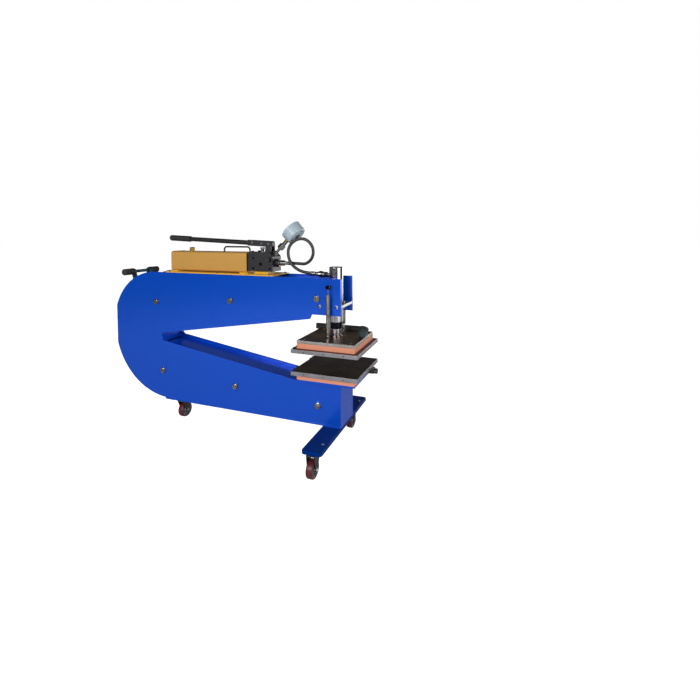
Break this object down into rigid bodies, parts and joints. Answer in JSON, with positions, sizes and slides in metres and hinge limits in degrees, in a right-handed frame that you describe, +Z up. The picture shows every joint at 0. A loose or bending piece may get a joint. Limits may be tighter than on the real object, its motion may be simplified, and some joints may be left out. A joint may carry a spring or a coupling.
{
  "type": "mobile deep-throat hydraulic heat press",
  "caption": "Wheeled C-frame press whose hand pump drives a ram that closes two heated platens on work reached deep into its throat.",
  "frame": {"origin": "on the floor, at the centre of the object's box", "axes": "+Z up; +X towards the platens at the open end of the throat; +Y to the left when facing +X; the mid-plane of the frame is Y = 0"},
  "size_m": [1.39, 0.576, 1.0208],
  "materials": {
    "blue_paint": "gloss",
    "amber_paint": "gloss",
    "zinc_bolts": "satin",
    "black_steel": "satin",
    "bare_steel": "satin",
    "platen_aluminium": "satin",
    "insulation_board": "matte",
    "chrome": "polished",
    "spring_steel": "satin",
    "black_plastic": "satin",
    "black_rubber": "matte",
    "brass": "satin",
    "gauge_grey": "satin",
    "hose_rubber": "satin",
    "handle_teal": "satin",
    "maroon_tread": "satin",
    "hub_grey": "satin"
  },
  "bodies": {
    "frame": {"bottom_plate": "blue_paint", "carry_bail": "black_steel", "caster_heads": "zinc_bolts", "caster_seats": "blue_paint", "cylinder_barrel": "chrome", "cylinder_coupler": "chrome", "cylinder_mount_plate": "bare_steel", "cylinder_rings": "black_steel", "foot_beam": "blue_paint", "frame_screws": "zinc_bolts", "gauge_case": "gauge_grey", "gauge_stem": "brass", "handle_bar": "handle_teal", "handle_legs": "handle_teal", "hose": "hose_rubber", "lower_arm_cover": "blue_paint", "lower_base_plate": "blue_paint", "lower_connector": "black_plastic", "lower_insulation": "insulation_board", "lower_platen": "platen_aluminium", "pivot_pin": "zinc_bolts", "pump_block": "black_steel", "pump_coupler": "chrome", "pump_plate": "amber_paint", "pump_tank": "amber_paint", "push_grips": "black_rubber", "side_plate_far": "blue_paint", "side_plate_near": "blue_paint", "spine_cover": "blue_paint", "spring_bolts": "black_steel", "spring_far": "spring_steel", "spring_near": "spring_steel", "throat_cover": "blue_paint", "tie_bolts": "zinc_bolts", "top_cover": "blue_paint", "upper_arm_cover": "blue_paint"},
    "press_head": {"upper_platen": "platen_aluminium", "upper_insulation": "insulation_board", "upper_backing_plate": "bare_steel", "upper_connector": "black_plastic", "wire_duct": "black_plastic", "ram_adaptor": "chrome", "ram": "chrome", "spring_eyes": "zinc_bolts"},
    "pump_lever": {"lever_socket": "black_steel", "lever_tube": "black_steel", "lever_grip": "black_rubber"},
    "plunger": {"pump_plunger": "chrome"},
    "filler_cap": {"filler_cap": "brass"},
    "release_valve": {"release_valve": "brass"},
    "gauge_needle": {"gauge_needle": "black_plastic"},
    "fork_front_near": {"caster_fork_front_near": "black_steel"},
    "wheel_front_near": {"caster_tread_front_near": "maroon_tread", "caster_hub_front_near": "hub_grey"},
    "fork_front_far": {"caster_fork_front_far": "black_steel"},
    "wheel_front_far": {"caster_tread_front_far": "maroon_tread", "caster_hub_front_far": "hub_grey"},
    "fork_rear": {"caster_fork_rear": "black_steel"},
    "wheel_rear": {"caster_tread_rear": "maroon_tread", "caster_hub_rear": "hub_grey"}
  },
  "joints": [
    {"name": "press_stroke", "type": "slide", "parent": "frame", "child": "press_head", "axis": [0, 0, -1], "range_m": [0, 0.0785], "stiffness_N_per_m": 3200, "springref_m": -0.08, "deforming": ["spring_near", "spring_far"]},
    {"name": "lever_hinge", "type": "hinge", "parent": "frame", "child": "pump_lever", "pos_m": [0.19, 0, 0.916], "axis": [0, 1, 0], "range_deg": [0, 55]},
    {"name": "plunger_slide", "type": "slide", "parent": "frame", "child": "plunger", "axis": [0, 0, 1], "range_m": [0, 0.025]},
    {"name": "filler_cap_turn", "type": "hinge", "parent": "frame", "child": "filler_cap", "pos_m": [-0.264, 0, 0.88], "axis": [0, 0, 1], "range_deg": [0, 360]},
    {"name": "release_valve_turn", "type": "hinge", "parent": "frame", "child": "release_valve", "pos_m": [0.205, -0.044, 0.846], "axis": [0, -1, 0], "range_deg": [0, 270]},
    {"name": "gauge_needle_turn", "type": "hinge", "parent": "frame", "child": "gauge_needle", "pos_m": [0.3135, 0, 0.9685], "axis": [0.7071, 0, -0.7071], "range_deg": [0, 270]},
    {"name": "swivel_front_near", "type": "hinge", "parent": "frame", "child": "fork_front_near", "pos_m": [0.519, -0.2265, 0.1], "axis": [0, 0, 1], "continuous": true},
    {"name": "roll_front_near", "type": "hinge", "parent": "fork_front_near", "child": "wheel_front_near", "pos_m": [0.519, -0.2505, 0.0375], "axis": [1, 0, 0], "continuous": true},
    {"name": "swivel_front_far", "type": "hinge", "parent": "frame", "child": "fork_front_far", "pos_m": [0.519, 0.2265, 0.1], "axis": [0, 0, 1], "continuous": true},
    {"name": "roll_front_far", "type": "hinge", "parent": "fork_front_far", "child": "wheel_front_far", "pos_m": [0.519, 0.2025, 0.0375], "axis": [1, 0, 0], "continuous": true},
    {"name": "swivel_rear", "type": "hinge", "parent": "frame", "child": "fork_rear", "pos_m": [-0.351, 0, 0.1], "axis": [0, 0, 1], "continuous": true},
    {"name": "roll_rear", "type": "hinge", "parent": "fork_rear", "child": "wheel_rear", "pos_m": [-0.351, 0.024, 0.0375], "axis": [-1, 0, 0], "continuous": true}
  ],
  "couplings": [
    {"joint": "plunger_slide", "follows": "lever_hinge", "m_per_rad": 0.025}
  ]
}
